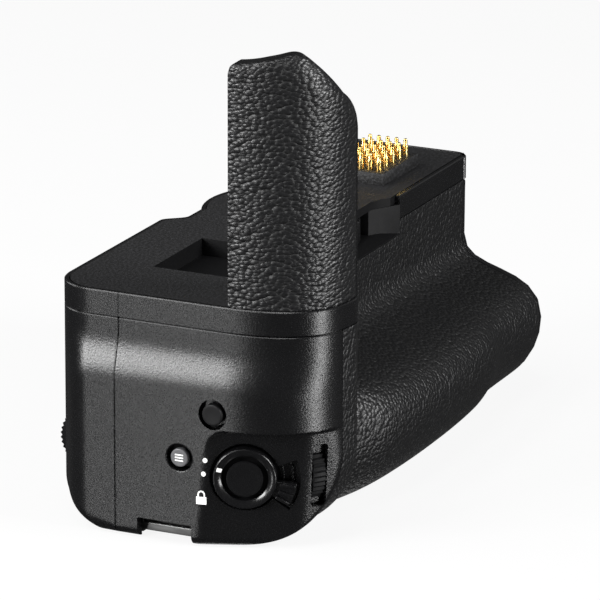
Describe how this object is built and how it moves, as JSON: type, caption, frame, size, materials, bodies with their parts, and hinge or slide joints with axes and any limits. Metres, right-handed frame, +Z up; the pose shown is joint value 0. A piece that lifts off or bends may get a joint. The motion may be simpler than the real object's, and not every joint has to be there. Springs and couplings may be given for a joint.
{
  "type": "camera battery grip",
  "caption": "Vertical battery grip for a camera: controls and dials on one end, a tall padded tower, contact block, screw wheel and a drawer for battery packs.",
  "frame": {"origin": "on the axis of the camera screw, in the upper face that the camera sits on", "axes": "+X towards the control end, +Y towards the front of the camera, +Z up out of the camera plate"},
  "size_m": [0.1531, 0.0743, 0.1239],
  "materials": {
    "cover_plastic": "fine textured satin black",
    "inner_plastic": "matt black",
    "dial_plastic": "knurled satin black",
    "switch_plastic": "moulded",
    "gray_plastic": "satin gray",
    "pack_plastic": "matt dark gray",
    "board": "green lacquer",
    "rubber": "pebbled black",
    "leatherette": "coarse grained black",
    "steel": "satin",
    "gold": "gold plated"
  },
  "bodies": {
    "grip": {"top_cover": "inner_plastic", "end_cover": "cover_plastic", "rear_cover": "cover_plastic", "front_cover": "inner_plastic", "grip_rubber": "rubber", "bottom_cover": "inner_plastic", "far_cover": "cover_plastic", "wheel_recess": "inner_plastic", "tower_shell": "inner_plastic", "tower_skin": "leatherette", "tower_liner": "rubber", "connector_block": "inner_plastic", "contact_pins": "gold", "locating_pins": "steel", "strap_lug": "steel", "tripod_socket": "steel", "battery_chamber": "inner_plastic", "chamber_contacts": "gold", "main_board": "board", "shutter_bush": "inner_plastic", "shutter_switch": "switch_plastic", "function_guide": "inner_plastic", "function_switch": "switch_plastic", "menu_guide": "inner_plastic", "menu_switch": "switch_plastic", "focus_guide": "inner_plastic", "focus_switch": "switch_plastic", "front_dial_bracket": "steel", "rear_dial_bracket": "steel", "thumb_rest": "rubber", "bottom_screws": "steel", "top_screws": "steel"},
    "shutter_key": {"shutter_button": "cover_plastic"},
    "lock": {"lock_lever": "cover_plastic"},
    "function_key": {"function_button": "cover_plastic"},
    "menu_key": {"menu_button": "gray_plastic"},
    "focus_key": {"focus_button": "cover_plastic"},
    "front_wheel": {"front_dial": "dial_plastic"},
    "rear_wheel": {"rear_dial": "dial_plastic"},
    "screw": {"thumbwheel": "dial_plastic", "camera_screw": "steel"},
    "tray": {"battery_tray": "inner_plastic", "tray_cap": "cover_plastic", "battery_a": "pack_plastic", "battery_b": "pack_plastic", "tray_contacts": "gold"},
    "latch": {"latch_key": "steel", "latch_tongue": "steel"}
  },
  "joints": [
    {"name": "shutter_press", "type": "slide", "parent": "grip", "child": "shutter_key", "axis": [-0.9266, -0.3744, 0.0349], "range_m": [0, 0.0012], "stiffness_N_per_m": 900},
    {"name": "lock_turn", "type": "hinge", "parent": "grip", "child": "lock", "pos_m": [0.08163, 0.02799, -0.0423], "axis": [0.9266, 0.3744, -0.0349], "range_deg": [0, 24]},
    {"name": "function_press", "type": "slide", "parent": "grip", "child": "function_key", "axis": [-1, 0, 0], "range_m": [0, 0.0006], "stiffness_N_per_m": 900},
    {"name": "menu_press", "type": "slide", "parent": "grip", "child": "menu_key", "axis": [-1, 0, 0], "range_m": [0, 0.0006], "stiffness_N_per_m": 900},
    {"name": "focus_press", "type": "slide", "parent": "grip", "child": "focus_key", "axis": [0, 1, 0], "range_m": [0, 0.0006], "stiffness_N_per_m": 900},
    {"name": "front_dial_turn", "type": "hinge", "parent": "grip", "child": "front_wheel", "pos_m": [0.06879, 0.03739, -0.042], "axis": [0.8192, -0.5736, 0], "continuous": true},
    {"name": "rear_dial_turn", "type": "hinge", "parent": "grip", "child": "rear_wheel", "pos_m": [0.0715, -0.0181, -0.0415], "axis": [1, 0, 0], "continuous": true},
    {"name": "screw_turn", "type": "hinge", "parent": "grip", "child": "screw", "pos_m": [0, 0, 0], "axis": [0, 0, 1], "continuous": true},
    {"name": "tray_slide", "type": "slide", "parent": "grip", "child": "tray", "axis": [-1, 0, 0], "range_m": [0, 0.1]},
    {"name": "latch_turn", "type": "hinge", "parent": "tray", "child": "latch", "pos_m": [-0.067, 0.0023, -0.0351], "axis": [1, 0, 0], "range_deg": [0, 90]}
  ]
}
